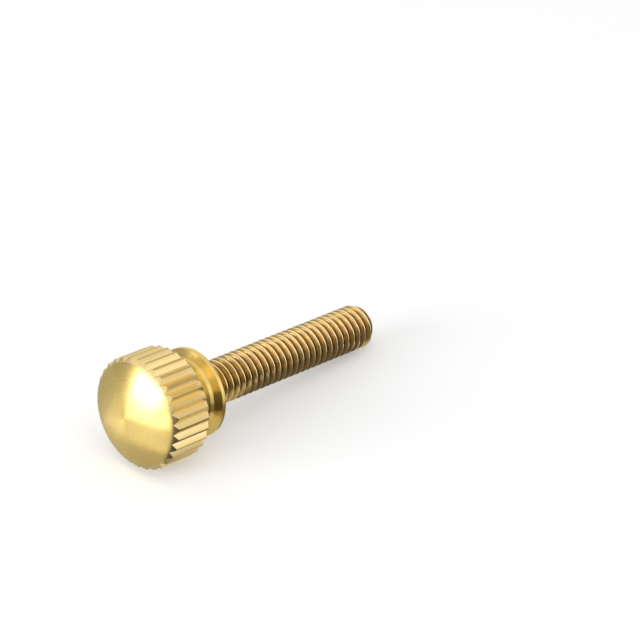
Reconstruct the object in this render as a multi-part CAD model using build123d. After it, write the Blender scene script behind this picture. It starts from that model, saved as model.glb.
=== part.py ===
from build123d import *
import math
import os

# A thumb screw turned from one brass bar: a knurled head with a domed end, a thin collar
# that seats on the work, and a metric shank.
# Sizes are in millimetres. The screw is made upright on the Z axis, with the seat face of the
# collar at zero, the head below it and the shank above. It is then laid down as it comes to
# rest on a flat surface, on two teeth of the knurl and the end of its thread, and the middle
# of the seat face stays at the origin.
# The shank has the outer size of its M4 thread, 0.7 mm in pitch, without the fine groove.

# Shank, measured from the seat face
thread_d = 3.86
thread_pitch = 0.70
screw_length = 20.8
tip_chamfer = 0.95
tip_flat_d = 1.95

# The neck beside the collar is as thick as the bar was before its thread was rolled. The
# thread rises from it over a few parts of a pitch, and a small fillet joins it to the seat.
neck_d = 3.55
neck_fillet = 0.20
neck_pitches = 0.5
rise_pitches = 1.35

# Collar
collar_d = 7.70
collar_thickness = 0.42
collar_edge_break = 0.07

# Underside of the collar, a short cone that ends at a ridge above the waist
ridge_d = 6.44
underside_length = 0.32
waist_length = 0.36

# Bell, the hollow curve that widens from the waist to the knurl
waist_d = 6.33
bell_length = 1.80
bell_hollow = 0.225

# Knurl
knurl_d = 9.60
knurl_length = 3.38
knurl_teeth = 32
knurl_depth = 0.35
knurl_groove_angle = 99.0
knurl_bevel = 0.37

# Domed end, inside the roots of the teeth by a small shoulder
dome_height = 1.17
dome_shoulder = 0.02

# How far the knurl's cutters stand past the surfaces that they cut
cutter_margin = 0.05

# Worked out from the sizes above
thread_r = thread_d / 2
neck_r = neck_d / 2
neck_length = neck_pitches * thread_pitch
rise_z = neck_length + rise_pitches * thread_pitch
chamfer_z = screw_length - tip_chamfer
collar_r = collar_d / 2
ridge_r = ridge_d / 2
waist_r = waist_d / 2
knurl_r = knurl_d / 2
root_r = knurl_r - knurl_depth
groove_slope = math.tan(math.radians(knurl_groove_angle / 2))
ridge_z = -(collar_thickness + underside_length)
waist_z = ridge_z - waist_length
knurl_top_z = waist_z - bell_length
knurl_end_z = knurl_top_z - knurl_length
dome_rim_r = root_r - dome_shoulder
dome_rim_z = knurl_end_z - knurl_bevel
dome_top_z = dome_rim_z - dome_height
dome_r = (dome_rim_r**2 + dome_height**2) / (2 * dome_height)

# At rest a groove of the knurl is lowest, and the two teeth beside it carry the head.
tooth_reach = math.sqrt(knurl_r**2 - (knurl_depth * groove_slope) ** 2)
rest_tilt = math.degrees(math.atan2(tooth_reach - thread_r, chamfer_z - knurl_top_z))


def turned_head():
    """The head and collar as the lathe leaves them, before the knurl."""
    with BuildPart() as head:
        with BuildSketch(Plane.XZ):
            with BuildLine():
                RadiusArc((0, dome_top_z), (dome_rim_r, dome_rim_z), -dome_r)
                Line((dome_rim_r, dome_rim_z), (knurl_r, knurl_end_z))
                Line((knurl_r, knurl_end_z), (knurl_r, knurl_top_z))
                SagittaArc((knurl_r, knurl_top_z), (waist_r, waist_z), bell_hollow)
                Polyline(
                    (waist_r, waist_z),
                    (ridge_r, ridge_z),
                    (collar_r - collar_edge_break, -collar_thickness),
                    (collar_r, -collar_thickness + collar_edge_break),
                    (collar_r, -collar_edge_break),
                    (collar_r - collar_edge_break, 0),
                    (0, 0),
                    (0, dome_top_z),
                )
            make_face()
        revolve(axis=Axis.Z)
    return head.part


def knurl_cutters():
    """The straight V grooves of the knurl, one of them on the +X side."""
    reach = knurl_depth + cutter_margin
    half_width = reach * groove_slope
    with BuildPart() as cutters:
        with BuildSketch(Plane.XY.offset(dome_rim_z - cutter_margin)):
            with PolarLocations(root_r, knurl_teeth):
                Polygon((0, 0), (reach, half_width), (reach, -half_width), align=None)
        extrude(amount=-dome_rim_z)
    return cutters.part


def turned_shank():
    """The shank with its thin neck and chamfered tip, rooted in the head behind the collar."""
    with BuildPart() as shank:
        with BuildSketch(Plane.XZ):
            with BuildLine():
                RadiusArc((neck_r + neck_fillet, 0), (neck_r, neck_fillet), neck_fillet)
                Polyline(
                    (neck_r, neck_fillet),
                    (neck_r, neck_length),
                    (thread_r, rise_z),
                    (thread_r, chamfer_z),
                    (tip_flat_d / 2, screw_length),
                    (0, screw_length),
                    (0, waist_z),
                    (neck_r + neck_fillet, waist_z),
                    (neck_r + neck_fillet, 0),
                )
            make_face()
        revolve(axis=Axis.Z)
    return shank.part


def thumb_screw():
    """The whole screw, upright, with the seat face at zero."""
    return turned_head() - knurl_cutters() + turned_shank()


def at_rest(upright):
    """The screw laid down with its tip towards +X."""
    return upright.rotate(Axis.Y, 90 + rest_tilt)


os.makedirs("parts", exist_ok=True)
screw = at_rest(thumb_screw())
export_step(screw.solid(), "parts/thumb_screw.step")
seat_axis = Vector(0, 0, 1).rotate(Axis.Y, 90 + rest_tilt)
print("tilt at rest", round(rest_tilt, 3), "degrees, axis", seat_axis)
print("lowest point", round(screw.bounding_box().min.Z, 4), "volume", round(screw.volume, 2))
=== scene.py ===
# %% [markdown]
# # A brass thumb screw
# This screw is turned and knurled from one bar of brass: a domed, knurled head to hold, a thin
# collar that seats on the work, and a long thread. The imported CAD part gives the place and the
# size of everything. It is loaded first, and its box is kept; the bottom of the box gives the
# height of the floor.

import math

import bmesh
import bpy
from mathutils import Matrix, Vector


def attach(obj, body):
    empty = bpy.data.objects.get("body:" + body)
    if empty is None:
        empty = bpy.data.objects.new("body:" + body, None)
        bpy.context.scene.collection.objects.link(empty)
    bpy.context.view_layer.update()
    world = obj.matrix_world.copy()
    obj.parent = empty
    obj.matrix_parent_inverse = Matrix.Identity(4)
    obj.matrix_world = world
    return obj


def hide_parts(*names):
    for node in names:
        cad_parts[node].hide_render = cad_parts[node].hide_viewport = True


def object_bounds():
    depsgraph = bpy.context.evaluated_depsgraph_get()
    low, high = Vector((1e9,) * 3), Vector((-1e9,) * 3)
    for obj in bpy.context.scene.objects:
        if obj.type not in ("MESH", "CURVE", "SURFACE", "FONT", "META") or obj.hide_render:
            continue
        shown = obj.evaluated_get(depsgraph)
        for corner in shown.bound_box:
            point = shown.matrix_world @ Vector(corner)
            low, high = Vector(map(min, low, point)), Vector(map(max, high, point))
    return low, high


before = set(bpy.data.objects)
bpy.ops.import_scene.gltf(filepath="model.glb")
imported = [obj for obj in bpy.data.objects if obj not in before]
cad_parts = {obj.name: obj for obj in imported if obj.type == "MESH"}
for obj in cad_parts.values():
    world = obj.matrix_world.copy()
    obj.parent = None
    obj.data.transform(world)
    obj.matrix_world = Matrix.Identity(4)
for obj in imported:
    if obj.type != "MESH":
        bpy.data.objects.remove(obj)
cad_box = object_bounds()
floor_height = cad_box[0].z
print("CAD box in mm", [[round(v * 1000, 3) for v in corner] for corner in cad_box])

# %% [markdown]
# ## The driving sizes
# A turned thing is drawn as half an outline: how far each point is from the axis, and how
# high it is along the axis. The screw is drawn upright in millimetres, with the seat face of
# the collar at height zero, the shank above it and the head below. Only at the end is it laid
# down and scaled to metres, because every formula is simpler on an upright axis.

# %% Sizes in millimetres
thread_r = 1.93
thread_pitch = 0.70
screw_length = 20.8
tip_chamfer = 0.95
tip_flat_r = 0.975
neck_r = 1.775
neck_fillet = 0.20
neck_length = 0.35
rise_length = 0.945

collar_r = 3.85
collar_thickness = 0.42
collar_edge_break = 0.07
ridge_r = 3.22
ridge_height = -0.74
waist_r = 3.165
waist_height = -1.10
bell_hollow = 0.225

knurl_r = 4.80
knurl_top = -2.90
knurl_end = -6.28
knurl_teeth = 32
knurl_depth = 0.35
groove_half_angle = math.radians(49.5)
knurl_bevel = 0.37

dome_shoulder = 0.02
dome_height = 1.17

# Worked out from the sizes above
flat_edge_r = collar_r - collar_edge_break
root_r = knurl_r - knurl_depth
groove_slope = math.tan(groove_half_angle)
dome_rim_r = root_r - dome_shoulder
dome_rim = knurl_end - knurl_bevel
dome_top = dome_rim - dome_height
chamfer_start = screw_length - tip_chamfer
print("head", round(-dome_top, 2), "mm long, shank", screw_length, "mm long")

# %% [markdown]
# ## How it lies
# The screw can't stand on its thread, so it lies down. Two teeth of the knurl and the end of
# the thread touch the floor, so the axis slopes down to the tip. The slope could be tried out
# with a physics run. Here it follows from the sizes, which is exact: how far the teeth reach
# out, how far the thread does, and how far apart they are.

# %% The slope of the axis at rest
tooth_reach = math.sqrt(knurl_r**2 - (knurl_depth * groove_slope) ** 2)
rest_tilt = math.atan2(tooth_reach - thread_r, chamfer_start - knurl_top)
lay_down = Matrix.Scale(0.001, 4) @ Matrix.Rotation(math.pi / 2 + rest_tilt, 4, "Y")
print("the axis slopes", round(math.degrees(rest_tilt), 3), "degrees")

# %% [markdown]
# ## The outline of the head
# On the real screw a lathe tool follows one outline while the bar turns. A Screw modifier
# could turn such an outline too, but then the knurl would have to be cut in with booleans.
# Instead the outline is written as heights for a given radius. A groove of the knurl reaches
# less far out than a tooth, and it can then end on the same hollow bell and the same bevel.


# %% Heights on the bell, the bevel and the dome
def spaced(start, end, steps):
    """Evenly spaced values from start to end, both included."""
    return [start + (end - start) * i / steps for i in range(steps + 1)]


bell_chord = math.hypot(knurl_r - waist_r, waist_height - knurl_top)
bell_arc_r = bell_chord**2 / (8 * bell_hollow) + bell_hollow / 2
bell_reach = (bell_arc_r - bell_hollow) / bell_chord
bell_centre_r = (knurl_r + waist_r) / 2 + (waist_height - knurl_top) * bell_reach
bell_centre = (waist_height + knurl_top) / 2 + (knurl_r - waist_r) * bell_reach
dome_ball_r = (dome_rim_r**2 + dome_height**2) / (2 * dome_height)


def bell_height(r):
    """Height of the hollow bell at radius r."""
    return bell_centre - math.sqrt(bell_arc_r**2 - (r - bell_centre_r) ** 2)


def bevel_height(r):
    """Height of the bevel that joins the knurl to the dome, at radius r."""
    return dome_rim + knurl_bevel * (r - dome_rim_r) / (knurl_r - dome_rim_r)


def dome_point(turn):
    """Point (radius, height) of the dome at an angle from the axis, from the ball's centre."""
    return dome_ball_r * math.sin(turn), dome_top + dome_ball_r * (1 - math.cos(turn))


print("bell arc", round(bell_arc_r, 3), "mm, dome ball", round(dome_ball_r, 3), "mm")

# %% The whole outline, for one direction round the axis
seat_inner_r = 2.3
seat_steps = 4
cone_steps = 2
bell_steps = 14
knurl_steps = 6
bevel_steps = 3
dome_steps = 18


def line_to(points, r, z, steps):
    """Adds evenly spaced points on a straight line from the last point to (r, z)."""
    last_r, last_z = points[-1]
    points += list(zip(spaced(last_r, r, steps), spaced(last_z, z, steps)))[1:]


def collar_edge(centre, turns):
    """Points of a rounded edge of the collar, at angles in degrees from straight outwards."""
    return [
        (
            flat_edge_r + collar_edge_break * math.cos(math.radians(turn)),
            centre + collar_edge_break * math.sin(math.radians(turn)),
        )
        for turn in turns
    ]


def head_outline(reach):
    """Points (radius, height) from the seat face to the middle of the dome.

    reach is how far out the knurl stands in that direction."""
    points = [(r, 0.0) for r in spaced(seat_inner_r, flat_edge_r, seat_steps)]
    points += collar_edge(-collar_edge_break, (60, 30, 0))
    points += collar_edge(collar_edge_break - collar_thickness, (0, -30, -60, -90))
    line_to(points, ridge_r, ridge_height, cone_steps)
    line_to(points, waist_r, waist_height, cone_steps)
    points += [(r, bell_height(r)) for r in spaced(waist_r, reach, bell_steps)[1:]]
    line_to(points, reach, bevel_height(reach), knurl_steps)
    points += [(r, bevel_height(r)) for r in spaced(reach, dome_rim_r, bevel_steps)[1:]]
    rim_turn = math.asin(dome_rim_r / dome_ball_r)
    points += [dome_point(turn) for turn in spaced(rim_turn, 0, dome_steps)[1:]]
    return points


print("points in the outline", len(head_outline(knurl_r)))

# %% [markdown]
# ## One tooth of the knurl
# A straight knurl is a row of V grooves that leaves sharp teeth, and it gives the fingers
# their grip. The head repeats itself once for each tooth, so only one slice of it is built,
# from the middle of a groove to the middle of the next. The flanks of a groove are flat, and
# their distance from the axis follows from the angle of the cutter. A slice needs no boolean,
# so its faces stay clean four-sided ones.


# %% The slice between two grooves
def knurl_reach(turn):
    """How far out the knurl stands at an angle from the middle of a groove."""
    flank = root_r / (math.cos(turn) - math.sin(turn) / groove_slope)
    return min(knurl_r, flank)


def mesh_from_columns(name, columns):
    """A mesh from columns of points; each column is a list of (x, y, z) of the same length."""
    rows = len(columns[0])
    mesh = bpy.data.meshes.new(name)
    points = [p for column in columns for p in column]
    faces = [
        (c * rows + i, (c + 1) * rows + i, (c + 1) * rows + i + 1, c * rows + i + 1)
        for c in range(len(columns) - 1)
        for i in range(rows - 1)
    ]
    mesh.from_pydata(points, [], faces)
    return mesh


# The corner of a tooth is where the groove's flank meets the outer circle
slope_squared = groove_slope**2
corner_x = (
    root_r * slope_squared
    + math.sqrt(knurl_r**2 * (1 + slope_squared) - root_r**2 * slope_squared)
) / (1 + slope_squared)
corner_turn = math.atan2((corner_x - root_r) * groove_slope, corner_x)
slice_turn = 2 * math.pi / knurl_teeth
flank_steps = 4
flank_turns = spaced(0, corner_turn, flank_steps)
slice_turns = flank_turns + [slice_turn - t for t in reversed(flank_turns)]


def head_slice():
    """One slice of the head as a mesh, from groove to groove."""
    columns = []
    for turn in slice_turns:
        outline = head_outline(knurl_reach(min(turn, slice_turn - turn)))
        columns.append([(r * math.cos(turn), r * math.sin(turn), z) for r, z in outline])
    return mesh_from_columns("head slice", columns)


tooth_mesh = head_slice()
crest_flat_width = (slice_turn - 2 * corner_turn) * knurl_r
print("faces in a slice", len(tooth_mesh.polygons), "crest", round(crest_flat_width, 3), "mm wide")

# %% [markdown]
# ## One turn of the thread
# A metric thread has flanks at 30 degrees to a plane across the axis. This one was rolled, so
# its crests and roots are rounded. A bump map could fake it, but the thread's outline shows
# against the floor, so it is real geometry. One turn is drawn as rows of points round the
# axis that climb by one pitch, so the end of a turn meets the start of the next.

# %% The outline of one pitch
flank_turn = math.radians(60)
sharp_depth = thread_pitch / (2 * math.tan(math.radians(30)))
thread_depth = 17 / 24 * sharp_depth
crest_round = 0.06
root_round = 0.10
half_crest = thread_pitch / 16
turn_columns = 80


def half_pitch_outline():
    """Points (distance from the crest along the axis, depth below it) down to the root."""
    crest_flat = half_crest - crest_round * math.tan(flank_turn / 2)
    root_flat = (
        thread_pitch / 2
        - half_crest
        - thread_depth / math.tan(flank_turn)
        - root_round * math.tan(flank_turn / 2)
    )
    crest = [
        (crest_flat + crest_round * math.sin(a), crest_round * (1 - math.cos(a)))
        for a in (flank_turn / 2, flank_turn)
    ]
    root_start = thread_pitch / 2 - root_flat
    root = [
        (root_start - root_round * math.sin(a), thread_depth - root_round * (1 - math.cos(a)))
        for a in (flank_turn, flank_turn / 2)
    ]
    middle = tuple((p + q) / 2 for p, q in zip(crest[-1], root[0]))
    return [(0.0, 0.0)] + crest + [middle] + root + [(thread_pitch / 2, thread_depth)]


def thread_turn():
    """One turn of the thread as a mesh, starting on a crest at height zero."""
    half = half_pitch_outline()
    pitch = half + [(thread_pitch - u, drop) for u, drop in reversed(half[:-1])]
    columns = []
    for c in range(turn_columns + 1):
        turn = 2 * math.pi * c / turn_columns
        rise = thread_pitch * c / turn_columns
        columns.append(
            [
                ((thread_r - drop) * math.cos(turn), (thread_r - drop) * math.sin(turn), u + rise)
                for u, drop in pitch
            ]
        )
    return mesh_from_columns("thread turn", columns)


turn_mesh = thread_turn()
print("thread depth", round(thread_depth, 4), "mm, faces in a turn", len(turn_mesh.polygons))

# %% [markdown]
# ## Repeating the slice and the turn
# Both repeats follow a rule, so Geometry Nodes make them: copies of the slice turned round
# the axis, and copies of the turn moved along it. An Array modifier could do this as well,
# but one tree serves both, takes its count and its step as named inputs, makes the copies
# real, joins the points that meet and gives the finish.


# %% A helper that adds a node with its settings and links
def add_node(tree, kind, inputs=None, **settings):
    """Adds a node; inputs maps a socket's name or number to a value or to another socket."""
    node = tree.nodes.new(kind)
    for name, value in settings.items():
        setattr(node, name, value)
    for socket, value in (inputs or {}).items():
        if isinstance(value, bpy.types.NodeSocket):
            tree.links.new(value, node.inputs[socket])
        else:
            node.inputs[socket].default_value = value
    return node


print("a node is added by its type, such as", bpy.types.ShaderNodeMath.bl_rna.identifier)

# %% The tree that repeats a mesh
tree_inputs = {
    "Geometry": "NodeSocketGeometry",
    "Count": "NodeSocketInt",
    "Step": "NodeSocketFloat",
    "First": "NodeSocketFloat",
    "Join within": "NodeSocketFloat",
    "Finish": "NodeSocketMaterial",
}


def repeat_tree(name, along_axis):
    """Copies of the incoming mesh, each turned round the axis or moved along it by one step."""
    tree = bpy.data.node_groups.new(name, "GeometryNodeTree")
    for label, kind in tree_inputs.items():
        tree.interface.new_socket(label, in_out="INPUT", socket_type=kind)
    tree.interface.new_socket("Geometry", in_out="OUTPUT", socket_type="NodeSocketGeometry")
    given = add_node(tree, "NodeGroupInput").outputs
    index = add_node(tree, "GeometryNodeInputIndex").outputs[0]
    place = add_node(
        tree,
        "ShaderNodeMath",
        {0: index, 1: given["Step"], 2: given["First"]},
        operation="MULTIPLY_ADD",
    ).outputs[0]
    vector = add_node(tree, "ShaderNodeCombineXYZ", {"Z": place}).outputs[0]
    points = add_node(tree, "GeometryNodePoints", {"Count": given["Count"]})
    copies = add_node(
        tree,
        "GeometryNodeInstanceOnPoints",
        {"Points": points.outputs[0], "Instance": given["Geometry"]},
    )
    if along_axis:
        tree.links.new(vector, points.inputs["Position"])
    else:
        spin = add_node(tree, "FunctionNodeEulerToRotation", {0: vector}).outputs[0]
        tree.links.new(spin, copies.inputs["Rotation"])
    real = add_node(tree, "GeometryNodeRealizeInstances", {0: copies.outputs[0]}).outputs[0]
    joined = add_node(
        tree,
        "GeometryNodeMergeByDistance",
        {"Geometry": real, "Distance": given["Join within"]},
    ).outputs[0]
    finished = add_node(
        tree,
        "GeometryNodeSetMaterial",
        {"Geometry": joined, "Material": given["Finish"]},
    ).outputs[0]
    add_node(tree, "NodeGroupOutput", {0: finished})
    return tree


round_tree = repeat_tree("round the axis", along_axis=False)
along_tree = repeat_tree("along the axis", along_axis=True)
print("nodes in the trees", len(round_tree.nodes), len(along_tree.nodes))


# %% Running a tree on a mesh
def repeated(mesh, tree, values):
    """The mesh with the tree applied, as a new mesh."""
    carrier = bpy.data.objects.new(mesh.name, mesh)
    bpy.context.scene.collection.objects.link(carrier)
    modifier = carrier.modifiers.new("repeat", "NODES")
    modifier.node_group = tree
    for item in tree.interface.items_tree:
        if item.in_out == "INPUT" and item.name in values:
            modifier[item.identifier] = values[item.name]
    ready = carrier.evaluated_get(bpy.context.evaluated_depsgraph_get())
    result = bpy.data.meshes.new_from_object(ready)
    bpy.data.objects.remove(carrier)
    return result


print("inputs of a tree", list(tree_inputs))

# %% [markdown]
# ## The finishes
# The whole screw is bare free-cutting brass, a metal with a yellow reflection. What differs
# is how each surface was made: turned on the lathe, cut by the knurling wheel, or rolled
# between dies. All three patterns run round the axis or follow the distance from it, so they
# are worked out on Object coordinates that are turned back to the upright screw. Image
# textures would need an unwrapped mesh, and would stretch on the dome.


# %% Colours, and coordinates on the upright screw
def hex_colour(code):
    """A hex sRGB colour as the linear values that a shader works with."""
    channels = [int(code[i : i + 2], 16) / 255 for i in (1, 3, 5)]
    return [c / 12.92 if c <= 0.04045 else ((c + 0.055) / 1.055) ** 2.4 for c in channels] + [1.0]


def screw_space(tree):
    """Upright coordinates in mm, the height and the radius, and the way round the axis."""
    place = add_node(tree, "ShaderNodeTexCoord").outputs["Object"]
    upright = add_node(
        tree,
        "ShaderNodeMapping",
        {
            "Vector": place,
            "Rotation": (0, -(math.pi / 2 + rest_tilt), 0),
            "Scale": (1000, 1000, 1000),
        },
        vector_type="POINT",
    ).outputs[0]
    parts = add_node(tree, "ShaderNodeSeparateXYZ", {0: upright}).outputs
    across = add_node(tree, "ShaderNodeCombineXYZ", {"X": parts["X"], "Y": parts["Y"]}).outputs[0]
    radius = add_node(
        tree, "ShaderNodeVectorMath", {0: across}, operation="LENGTH"
    ).outputs["Value"]
    round_axis = add_node(
        tree,
        "ShaderNodeVectorMath",
        {0: (math.cos(rest_tilt), 0.0, -math.sin(rest_tilt)), 1: place},
        operation="CROSS_PRODUCT",
    ).outputs[0]
    return upright, parts["Z"], radius, round_axis


print("linear brass", [round(c, 3) for c in hex_colour("#e8cd80")[:3]])

# %% [markdown]
# ### Turned brass: dome, bell and collar
# The lathe's tool leaves fine rings round the axis. Light spreads across such rings far more
# than along them, and that is what draws a highlight on the dome out into a fan from its
# middle. Rings could be modelled as grooves, but they are a few hundredths of a millimetre
# apart. So a one-dimensional noise gives them a faint bump and uneven roughness, and the
# shader's anisotropy, with its tangent round the axis, gives the fan.

# %% Turned brass
# Real lathe marks are 0.03 to 0.05 mm apart. They are drawn coarser here, so that they show.
ring_spacing = 0.085
ring_bump = 0.35
scratch_depth = 0.0000012
# On the flat of the dome the height hardly changes, so part of the radius is added to it.
radius_share = 0.61
# Faint patches of tone from handling, each a little over a millimetre across
patches_per_mm = 0.9
# The rings make the metal a little smoother and a little rougher by turns.
smoother, rougher = 0.05, 0.07
# A quarter turn puts the wide side of the spread across the rings.
across_rings = 0.25


def turned_brass(name, colour, dark_colour, rough, spread):
    """Brass as the lathe's tool leaves it: satin, with fine rings round the axis."""
    material = bpy.data.materials.new(name)
    material.use_nodes = True
    tree = material.node_tree
    shader = tree.nodes["Principled BSDF"]
    upright, height, radius, round_axis = screw_space(tree)
    along = add_node(
        tree,
        "ShaderNodeMath",
        {0: height, 1: radius_share, 2: radius},
        operation="MULTIPLY_ADD",
    ).outputs[0]
    rings = add_node(
        tree,
        "ShaderNodeTexNoise",
        {"W": along, "Scale": 1 / ring_spacing, "Detail": 3.0, "Roughness": 0.6},
        noise_dimensions="1D",
    ).outputs[0]
    patches = add_node(
        tree,
        "ShaderNodeTexNoise",
        {"Vector": upright, "Scale": patches_per_mm, "Detail": 4.0, "Roughness": 0.55},
    ).outputs[0]
    tone = add_node(
        tree,
        "ShaderNodeMix",
        {0: patches, 6: hex_colour(dark_colour), 7: hex_colour(colour)},
        data_type="RGBA",
    ).outputs[2]
    tree.links.new(tone, shader.inputs["Base Color"])
    dull = add_node(
        tree,
        "ShaderNodeMapRange",
        {
            "Value": rings,
            "From Min": 0.25,
            "From Max": 0.75,
            "To Min": rough - smoother,
            "To Max": rough + rougher,
        },
    ).outputs[0]
    tree.links.new(dull, shader.inputs["Roughness"])
    bump = add_node(
        tree,
        "ShaderNodeBump",
        {"Height": rings, "Strength": ring_bump, "Distance": scratch_depth},
    ).outputs[0]
    tree.links.new(bump, shader.inputs["Normal"])
    tree.links.new(round_axis, shader.inputs["Tangent"])
    shader.inputs["Anisotropic"].default_value = spread
    shader.inputs["Anisotropic Rotation"].default_value = across_rings
    shader.inputs["Metallic"].default_value = 1.0
    return material


bright_brass = turned_brass("turned brass", "#e8cd80", "#dec274", 0.28, 0.75)
print(bright_brass.name, "has", len(bright_brass.node_tree.nodes), "nodes")

# %% [markdown]
# ### Knurled brass: the teeth
# The knurl is painted paler and less yellow than the turned brass, and paler still towards the
# roots of its grooves: a painted lift against the shade between the teeth. A narrow land on each
# tooth is painted darker: partly the duller metal of the land, partly painted shade along the
# crests. The land could be a material of its own on its own faces. It is drawn by the distance
# from the axis instead, because that gives it a soft edge.
# The flanks were not turned, so the spread round the axis is off.

# %% Knurled brass
# In mm below the crests: where the land starts and is full, and where the painted lift towards the
# roots ends
land_start = 0.035
land_full = 0.015
root_lift_end = 0.08


def cut_brass(name, colour, dark_colour, painted_root_colour, land_and_shade_colour, rough):
    """Knurled brass: flanks painted paler towards the roots as a painted lift, and a narrow land
    painted darker, partly duller metal and partly painted shade.
    """
    material = turned_brass(name, colour, dark_colour, rough, 0.0)
    tree = material.node_tree
    shader = tree.nodes["Principled BSDF"]
    _, _, radius, _ = screw_space(tree)
    skin_tone = shader.inputs["Base Color"].links[0].from_socket
    # Painted lift: paler towards the roots of the grooves, against the shade between the teeth.
    up_flank = add_node(
        tree,
        "ShaderNodeMapRange",
        {"Value": radius, "From Min": root_r, "From Max": knurl_r - root_lift_end},
    ).outputs[0]
    cut_tone = add_node(
        tree,
        "ShaderNodeMix",
        {0: up_flank, 6: hex_colour(painted_root_colour), 7: skin_tone},
        data_type="RGBA",
    ).outputs[2]
    # The land: duller metal, and partly painted shade along the crests.
    on_land = add_node(
        tree,
        "ShaderNodeMapRange",
        {"Value": radius, "From Min": knurl_r - land_start, "From Max": knurl_r - land_full},
    ).outputs[0]
    tone = add_node(
        tree,
        "ShaderNodeMix",
        {0: on_land, 6: cut_tone, 7: hex_colour(land_and_shade_colour)},
        data_type="RGBA",
    ).outputs[2]
    tree.links.new(tone, shader.inputs["Base Color"])
    return material


# The pale root colour is a painted lift against the shade in the grooves; the land colour is
# partly painted shade.
knurl_brass = cut_brass("knurled brass", "#e6cc8c", "#dcc07e", "#edd7a0", "#bda262", 0.31)
print(knurl_brass.name, "has", len(knurl_brass.node_tree.nodes), "nodes")

# %% [markdown]
# ### Rolled brass: the thread
# The crests of the thread are painted pale, a painted highlight, and its flanks and roots are
# painted brown, a painted shade in the grooves. Shade like this can be found from the curvature of
# the mesh, but that node only works in one renderer. Here the distance from the axis tells how
# deep a point is in the groove, and a noise makes the edge of the painted shade wander. Past the
# roots there is only the end face and the cone of the tip, which get no painted shade.

# %% Rolled thread brass
# The painted shade's edge wanders by up to a tenth of a millimetre, in spots about half a mm wide.
shade_spots_per_mm = 2.2
shade_edge_wander = 0.10
# In mm above the roots: where the painted shade is darkest. In mm below the crests: where it ends,
# and where the painted highlight starts and is full.
root_shade_end = 0.08
flank_shade_end = 0.12
crest_highlight_start = 0.07
crest_highlight_full = 0.02
# In mm inside the roots: where the tip's plain metal, without painted shade, is full, and where it
# starts.
tip_unshaded_full = 0.10
tip_unshaded_start = 0.03


def rolled_brass(name, crest_highlight_colour, shaded_flank_colour, painted_root_colour, tip_colour, rough):
    """Rolled thread: crests painted pale as a painted highlight, flanks and roots painted brown as
    painted shade, a plain tip.
    """
    material = turned_brass(name, crest_highlight_colour, crest_highlight_colour, rough, 0.3)
    tree = material.node_tree
    shader = tree.nodes["Principled BSDF"]
    upright, _, radius, _ = screw_space(tree)
    groove_r = thread_r - thread_depth
    crest_highlight_tone = shader.inputs["Base Color"].links[0].from_socket
    # Painted shade: brown towards the roots of the thread, with its edge made to wander by a
    # noise.
    shade_edge_noise = add_node(
        tree,
        "ShaderNodeTexNoise",
        {"Vector": upright, "Scale": shade_spots_per_mm, "Detail": 5.0, "Roughness": 0.6},
    ).outputs[0]
    wavy = add_node(
        tree,
        "ShaderNodeMath",
        {0: shade_edge_noise, 1: shade_edge_wander, 2: radius},
        operation="MULTIPLY_ADD",
    ).outputs[0]
    up_flank = add_node(
        tree,
        "ShaderNodeMapRange",
        {
            "Value": wavy,
            "From Min": groove_r + root_shade_end,
            "From Max": thread_r - flank_shade_end,
        },
    ).outputs[0]
    groove_tone = add_node(
        tree,
        "ShaderNodeMix",
        {0: up_flank, 6: hex_colour(painted_root_colour), 7: hex_colour(shaded_flank_colour)},
        data_type="RGBA",
    ).outputs[2]
    # Painted highlight: paler on the crests.
    on_crest = add_node(
        tree,
        "ShaderNodeMapRange",
        {
            "Value": radius,
            "From Min": thread_r - crest_highlight_start,
            "From Max": thread_r - crest_highlight_full,
        },
    ).outputs[0]
    thread_tone = add_node(
        tree,
        "ShaderNodeMix",
        {0: on_crest, 6: groove_tone, 7: crest_highlight_tone},
        data_type="RGBA",
    ).outputs[2]
    # No painted shade past the roots, on the tip's cone and end face.
    past_root = add_node(
        tree,
        "ShaderNodeMapRange",
        {
            "Value": radius,
            "From Min": groove_r - tip_unshaded_full,
            "From Max": groove_r - tip_unshaded_start,
        },
    ).outputs[0]
    tone = add_node(
        tree,
        "ShaderNodeMix",
        {0: past_root, 6: hex_colour(tip_colour), 7: thread_tone},
        data_type="RGBA",
    ).outputs[2]
    tree.links.new(tone, shader.inputs["Base Color"])
    return material


# The pale crest colour is a painted highlight; the flank and root colours are painted shade.
thread_brass = rolled_brass(
    "rolled thread brass", "#f6e2ae", "#cba766", "#5e4226", "#dec274", 0.26
)
print(thread_brass.name, "has", len(thread_brass.node_tree.nodes), "nodes")

# %% [markdown]
# ## The head, the thread and the whole skin
# The repeated turns run past both ends. The points beyond the tip are drawn back to its cone
# and its flat, and near the seat the thread sinks into a thin neck, as it does where rolling
# dies lift off. A boolean could join the shank to the head, but it leaves thin, uneven faces.
# Here two rings of open edges are bridged across the seat face, which makes one closed skin.

# %% Repeat the slice and the turn
join_within = 0.0004
turns_below = math.ceil(chamfer_start / thread_pitch) + 2
turns_above = math.ceil(tip_chamfer / thread_pitch) + 1
head_mesh = repeated(
    tooth_mesh,
    round_tree,
    {
        "Count": knurl_teeth,
        "Step": slice_turn,
        "First": 0.0,
        "Join within": join_within,
        "Finish": bright_brass,
    },
)
shank_mesh = repeated(
    turn_mesh,
    along_tree,
    {
        "Count": turns_below + turns_above,
        "Step": thread_pitch,
        "First": chamfer_start - turns_below * thread_pitch,
        "Join within": join_within,
        "Finish": thread_brass,
    },
)
print("head", len(head_mesh.polygons), "faces, shank", len(shank_mesh.polygons), "faces")


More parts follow.
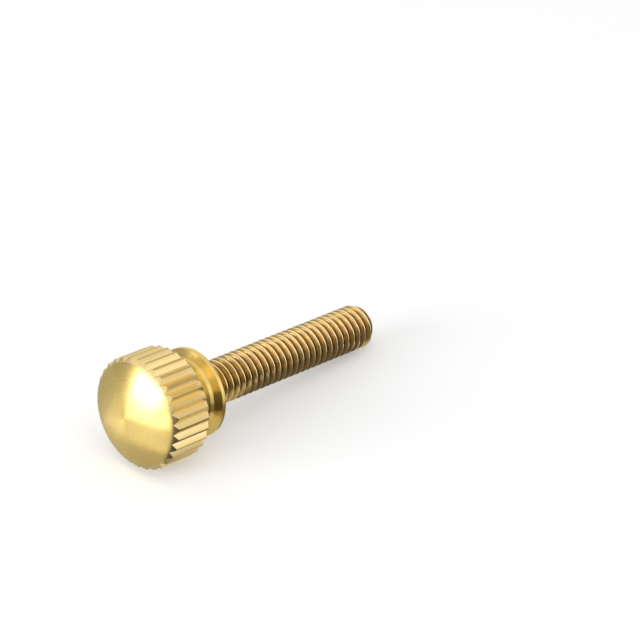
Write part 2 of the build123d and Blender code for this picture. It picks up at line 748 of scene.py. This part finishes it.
# %% The two ends of the thread
def shank_radius(r, z):
    """Radius of the shank at height z where the endless thread has radius r."""
    risen = min(max((z - neck_length) / rise_length, 0.0), 1.0)
    crest = neck_r + (thread_r - neck_r) * risen
    run_out = crest - (thread_r - r) * risen
    cone = thread_r + (chamfer_start - z) * (thread_r - tip_flat_r) / tip_chamfer
    return min(run_out, cone) if z > chamfer_start else run_out


def trim_thread(mesh):
    """Draws the endless thread in to the neck, the seat, the chamfer and the tip."""
    for vertex in mesh.vertices:
        x, y, z = vertex.co
        r = math.hypot(x, y)
        z = min(max(z, 0.0), screw_length)
        scale = shank_radius(r, z) / r
        vertex.co = (x * scale, y * scale, z)


trim_thread(shank_mesh)
print("shank from", min(v.co.z for v in shank_mesh.vertices), "mm up")


# %% The plain neck
fillet_degrees = spaced(0, 90, 6)


def cut_row(edges):
    """The open edges among some new pieces of a mesh."""
    return [e for e in edges if isinstance(e, bmesh.types.BMEdge) and e.is_boundary]


def add_neck(bm):
    """Cuts the shank off where its neck ends, and adds neck and fillet in even rows."""
    cut = bmesh.ops.bisect_plane(
        bm,
        geom=bm.verts[:] + bm.edges[:] + bm.faces[:],
        dist=join_within,
        plane_co=(0, 0, neck_length),
        plane_no=(0, 0, 1),
        clear_inner=True,
    )
    row = cut_row(cut["geom_cut"])
    for degrees in fillet_degrees:
        turn_in = math.radians(degrees)
        z = neck_fillet * (1 - math.sin(turn_in))
        r = neck_r + neck_fillet * (1 - math.cos(turn_in))
        row = cut_row(bmesh.ops.extrude_edge_only(bm, edges=row)["geom"])
        for vertex in {v for e in row for v in e.verts}:
            turn = math.atan2(vertex.co.y, vertex.co.x)
            vertex.co = (r * math.cos(turn), r * math.sin(turn), z)


print("rows in the fillet", len(fillet_degrees))

# %% One closed skin
height_slack = 0.01
radius_slack = 0.02


def open_loop(bm, radius, height):
    """The open edges that lie on a circle of that radius and height."""
    return [
        e
        for e in bm.edges
        if e.is_boundary
        and all(
            abs(v.co.z - height) < height_slack
            and abs(math.hypot(v.co.x, v.co.y) - radius) < radius_slack
            for v in e.verts
        )
    ]


def join_points(bm):
    """Merges the points that meet and removes the faces that this leaves without area."""
    bmesh.ops.remove_doubles(bm, verts=bm.verts, dist=join_within)
    bmesh.ops.dissolve_degenerate(bm, edges=bm.edges, dist=join_within)


def whole_skin():
    """Head and shank as one mesh, joined at the seat and closed at the tip."""
    bm = bmesh.new()
    bm.from_mesh(shank_mesh)
    join_points(bm)
    add_neck(bm)
    bm.from_mesh(head_mesh)
    join_points(bm)
    shank_loop = open_loop(bm, neck_r + neck_fillet, 0.0)
    head_loop = open_loop(bm, seat_inner_r, 0.0)
    tip_loop = open_loop(bm, tip_flat_r, screw_length)
    print("loops", len(shank_loop), len(head_loop), len(tip_loop))
    bmesh.ops.bridge_loops(bm, edges=shank_loop + head_loop)
    bmesh.ops.holes_fill(bm, edges=tip_loop, sides=0)
    bmesh.ops.recalc_face_normals(bm, faces=bm.faces)
    still_open = [e for e in bm.edges if not e.is_manifold]
    print("edges that aren't closed", len(still_open), "faces", len(bm.faces))
    mesh = bpy.data.meshes.new("thumb screw skin")
    bm.to_mesh(mesh)
    bm.free()
    return mesh


skin = whole_skin()

# %% [markdown]
# ## Finishes by region
# One skin carries three finishes. Separate objects would need seams where they meet. Instead
# a face takes its finish from where it is on the upright screw, so this is done before the
# screw is laid down. Then the skin takes the place of the CAD part's plain one.

# %% Give each face its finish and lay the screw down
# A face counts by its middle, so each region starts a hair past its edge.
above_seat = 0.02
above_dome_rim = 0.01
inside_root = 0.005
# The grooves run out on the bell over this much of its length.
grooves_on_bell = 0.4
# Edges sharper than this stay crisp; the rest of the skin is shaded smooth.
crisp_angle = math.radians(28)
finishes = (bright_brass, knurl_brass, thread_brass)


def finish_number(centre):
    """0 for turned faces, 1 for the knurl, 2 for the thread."""
    r = math.hypot(centre.x, centre.y)
    if centre.z > above_seat:
        return 2
    beside_knurl = dome_rim + above_dome_rim < centre.z < knurl_top + grooves_on_bell
    return 1 if beside_knurl and r > dome_rim_r - inside_root else 0


skin.materials.clear()
for finish in finishes:
    skin.materials.append(finish)
for face in skin.polygons:
    face.material_index = finish_number(face.center)
    face.use_smooth = True
skin.set_sharp_from_angle(angle=crisp_angle)
skin.transform(lay_down)
skin.update()

screw = bpy.data.objects.new("knurled_brass_screw", skin)
bpy.context.scene.collection.objects.link(screw)
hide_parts("thumb_screw")
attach(screw, "root")
print("triangles", sum(len(face.vertices) - 2 for face in skin.polygons))

# %% [markdown]
# ## Floor and backdrop
# The screw is shown on plain white. Turning the lamps up until the floor is white would wash
# the brass out. Instead the floor and the world are lifted only for the rays that look at
# them, from the camera or off the metal. The light on the screw stays plain, and the floor
# keeps its soft shadow.


# %% Which rays only look
def looking_rays(tree):
    """1 for camera, glossy and transmission rays, 0 for the rays that carry light."""
    rays = add_node(tree, "ShaderNodeLightPath").outputs
    seen = rays["Is Camera Ray"]
    for kind in ("Is Glossy Ray", "Is Transmission Ray"):
        seen = add_node(
            tree, "ShaderNodeMath", {0: seen, 1: rays[kind]}, operation="MAXIMUM"
        ).outputs[0]
    return seen


print("rays that look: camera, glossy and transmission")

# %% The floor
floor_reach = 3.0
floor_lift = 0.30
floor_corners = [(-1, -1), (1, -1), (1, 1), (-1, 1)]
floor_mesh = bpy.data.meshes.new("floor")
floor_mesh.from_pydata(
    [(x * floor_reach, y * floor_reach, floor_height) for x, y in floor_corners],
    [],
    [(0, 1, 2, 3)],
)
floor = bpy.data.objects.new("floor", floor_mesh)
bpy.context.scene.collection.objects.link(floor)

# Matt white paper: pale, with no gloss of its own
paper = bpy.data.materials.new("white paper")
paper.use_nodes = True
tree = paper.node_tree
shader = tree.nodes["Principled BSDF"]
shader.inputs["Base Color"].default_value = hex_colour("#e9e9e9")
shader.inputs["Roughness"].default_value = 0.9
shader.inputs["Specular IOR Level"].default_value = 0.0
lift = add_node(
    tree, "ShaderNodeMath", {0: looking_rays(tree), 1: floor_lift}, operation="MULTIPLY"
).outputs[0]
glow = add_node(tree, "ShaderNodeEmission", {"Color": (1, 1, 1, 1), "Strength": lift}).outputs[0]
both = add_node(tree, "ShaderNodeAddShader", {0: shader.outputs[0], 1: glow}).outputs[0]
tree.links.new(both, tree.nodes["Material Output"].inputs["Surface"])
floor_mesh.materials.append(paper)
print("floor at", round(floor_height * 1000, 3), "mm")

# %% The backdrop
sky_light = 0.6
sky_look = 1.0
world = bpy.data.worlds.new("studio")
bpy.context.scene.world = world
world.use_nodes = True
tree = world.node_tree
strength = add_node(
    tree,
    "ShaderNodeMapRange",
    {"Value": looking_rays(tree), "To Min": sky_light, "To Max": sky_look},
).outputs[0]
background = tree.nodes["Background"]
background.inputs["Color"].default_value = (1, 1, 1, 1)
tree.links.new(strength, background.inputs["Strength"])
print("the world lights at", sky_light, "and looks like", sky_look)

# %% [markdown]
# ## The camera
# The camera stands in front of the head, to its left and above it, and has no roll. It could
# be aimed by hand with a Track To constraint. It is worked out from three things instead:
# the direction of view, the distance, and the pixel at which the middle of the seat face
# falls in a square picture, so a change of one leaves the others true.

# %% The camera
frame_width = 640
sensor_width = 36
camera_distance = 0.280
camera_heading = math.radians(-46.34)
camera_elevation = math.radians(31.71)
pixels_per_metre = 12126
seat_pixel = (193.1, 391.35)

forward = Vector(
    (
        -math.sin(camera_heading) * math.cos(camera_elevation),
        math.cos(camera_heading) * math.cos(camera_elevation),
        -math.sin(camera_elevation),
    )
)
right = forward.cross(Vector((0, 0, 1))).normalized()
up = right.cross(forward)
seat_right = (seat_pixel[0] - frame_width / 2) / pixels_per_metre
seat_up = (frame_width / 2 - seat_pixel[1]) / pixels_per_metre

camera_data = bpy.data.cameras.new("camera")
camera_data.sensor_width = sensor_width
camera_data.lens = pixels_per_metre * camera_distance / frame_width * sensor_width
camera_data.clip_start = 0.01
camera_data.clip_end = 20
camera = bpy.data.objects.new("camera", camera_data)
bpy.context.scene.collection.objects.link(camera)
camera.location = -right * seat_right - up * seat_up - forward * camera_distance
camera.rotation_euler = forward.to_track_quat("-Z", "Y").to_euler()
bpy.context.scene.camera = camera
print("camera at", [round(v * 1000) for v in camera.location], "mm, lens", round(camera_data.lens))

# %% [markdown]
# ## The lamps
# A photographer lights small metal parts with softboxes, because metal shows whatever stands
# round it. A strong one on the left gives the white highlight on the dome. Two weak ones, on
# the right and overhead, fill in. They are area lamps, which give soft shadows as well; a
# glowing plane would do the same but is noisier to render.


# %% The softboxes
def toward(heading, elevation):
    """Unit vector from the screw; heading 0 is towards the front, 90 to the tip's side."""
    a, e = math.radians(heading), math.radians(elevation)
    return Vector((math.sin(a) * math.cos(e), -math.cos(a) * math.cos(e), math.sin(e)))


def soft_panel(name, heading, elevation, distance, width, height, level):
    """A soft rectangular lamp that faces the screw. Level 1 looks as bright as white paper."""
    data = bpy.data.lights.new(name, "AREA")
    data.shape = "RECTANGLE"
    data.size, data.size_y = width, height
    data.energy = level * math.pi * width * height
    lamp = bpy.data.objects.new(name, data)
    way = toward(heading, elevation)
    lamp.location = way * distance
    lamp.rotation_euler = (-way).to_track_quat("-Z", "Y").to_euler()
    bpy.context.scene.collection.objects.link(lamp)


# name, heading, elevation, distance, width and height in metres, level
soft_panel("left softbox", -107, 15, 0.50, 0.36, 0.25, 6.5)
soft_panel("right softbox", 42, 16, 0.50, 0.44, 0.34, 0.4)
soft_panel("overhead softbox", -20, 70, 0.60, 0.40, 0.40, 1.0)
print("lamps", [light.name for light in bpy.data.lights if "softbox" in light.name])

# %% [markdown]
# ## The cards
# On a white sweep alone, brass looks flat and pale. Photographers stand black and grey cards
# round a metal part, to put dark bands in it that show its form, and lay white ones down to
# lift its lower side. Real cards would also darken the floor. These are seen only by glossy
# rays, so they shape the metal's reflections and leave the floor and its shadow alone.

# %% The cards
card_columns = 10
card_gap = 0.0001


def card(name, colour, level, start, end, near, far, top):
    """A bent card that only the metal sees: its foot lies on the floor, its back stands up.

    start and end are headings, near and far distances, top an elevation, level its own glow."""
    material = bpy.data.materials.new(name)
    material.use_nodes = True
    shader = material.node_tree.nodes["Principled BSDF"]
    shader.inputs["Base Color"].default_value = hex_colour(colour)
    shader.inputs["Roughness"].default_value = 0.9
    shader.inputs["Emission Color"].default_value = hex_colour("#ffffff")
    shader.inputs["Emission Strength"].default_value = level
    foot = floor_height + card_gap
    corners = [(near, foot), (far, foot)]
    if top > 0:
        corners.append((far, far * math.tan(math.radians(top))))
    columns = []
    for heading in spaced(start, end, card_columns):
        side_way = toward(heading, 0.0)
        columns.append([tuple(side_way * r + Vector((0, 0, z))) for r, z in corners])
    piece = bpy.data.objects.new(name, mesh_from_columns(name, columns))
    piece.data.materials.append(material)
    bpy.context.scene.collection.objects.link(piece)
    piece.visible_camera = piece.visible_diffuse = piece.visible_shadow = False


# name, colour, own glow, first and last heading, near and far edge in metres, top
card("black front card", "#2a2622", 0.0, -64, 10, 0.008, 0.15, 15)
card("dark side card", "#4a4440", 0.04, 62, 112, 0.02, 0.16, 26)
card("grey back card", "#8a8a8a", 0.26, -190, -136, 0.006, 0.18, 28)
card("grey floor card", "#8a8a8a", 0.30, -136, -64, 0.005, 0.011, 0)
card("shank card", "#5a524a", 0.11, 12, 100, 0.003, 0.0185, 0)
card("near bounce card", "#ffffff", 0.20, -106, -70, 0.0112, 0.026, 0)
card("far bounce card", "#ffffff", 1.8, -112, -72, 0.0265, 0.40, 0)

# %% [markdown]
# ## Finish
# The Standard view keeps colours as they are written. A film-like view would grey the white floor.

# %% Finish
bpy.context.scene.view_settings.view_transform = "Standard"
